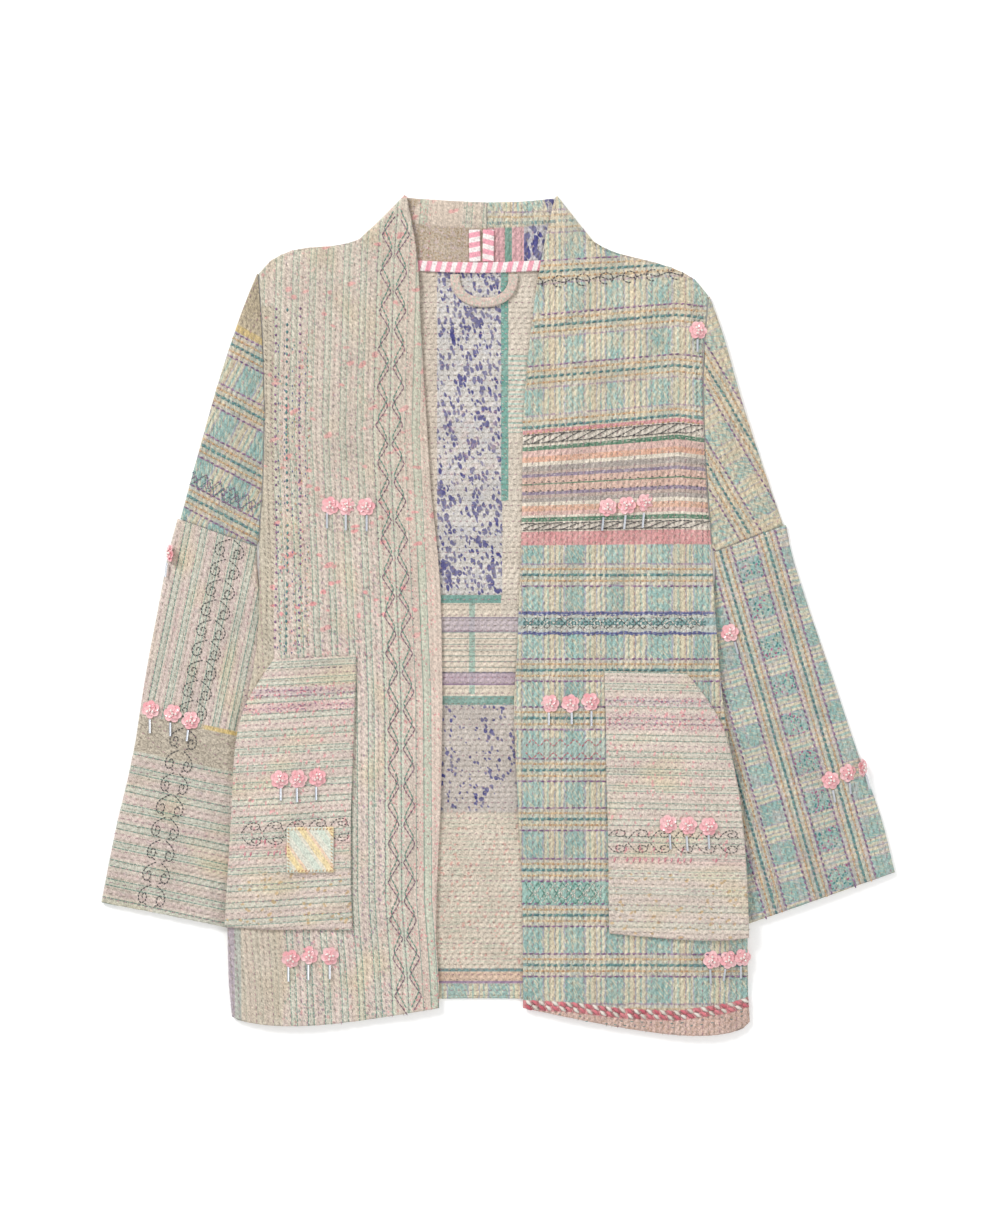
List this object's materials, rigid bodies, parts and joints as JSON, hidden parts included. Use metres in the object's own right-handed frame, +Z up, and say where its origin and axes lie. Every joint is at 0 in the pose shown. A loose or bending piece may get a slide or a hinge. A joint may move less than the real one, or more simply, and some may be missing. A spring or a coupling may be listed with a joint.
{
  "type": "sequin jacket",
  "caption": "Open quilted patchwork jacket with a folded collar, wide sleeves and patch pockets, laid flat; sequin flowers are sewn on.",
  "frame": {"origin": "centre of the laid jacket's box, on the surface that it lies on", "axes": "+X towards the wearer's left side, +Y from the hem to the collar, +Z up from the surface, out of the fronts"},
  "size_m": [0.7308, 0.7738, 0.0161],
  "materials": {
    "sage_stripe": "soft quilted cotton, faded pink, beige and green stripes",
    "teal_plaid": "soft quilted cotton, faded teal, yellow and lilac plaid",
    "inside_print": "soft quilted cotton, cream and lavender with small dabs",
    "candy_binding": "smooth woven cotton binding, pink and white stripes",
    "mend_cloth": "thin cotton, pale teal with yellow bands"
  },
  "bodies": {
    "root": {"front_right": "sage_stripe", "front_left": "teal_plaid", "back": "inside_print", "sleeve_right_upper": "teal_plaid", "sleeve_right_lower": "sage_stripe", "sleeve_left_upper": "teal_plaid", "sleeve_left_lower": "teal_plaid", "pocket_right": "sage_stripe", "pocket_left": "sage_stripe", "pocket_mend": "mend_cloth", "neck_binding": "candy_binding", "centre_binding_right": "candy_binding", "centre_binding_left": "candy_binding", "hanging_loop": "sage_stripe"}
  },
  "joints": []
}
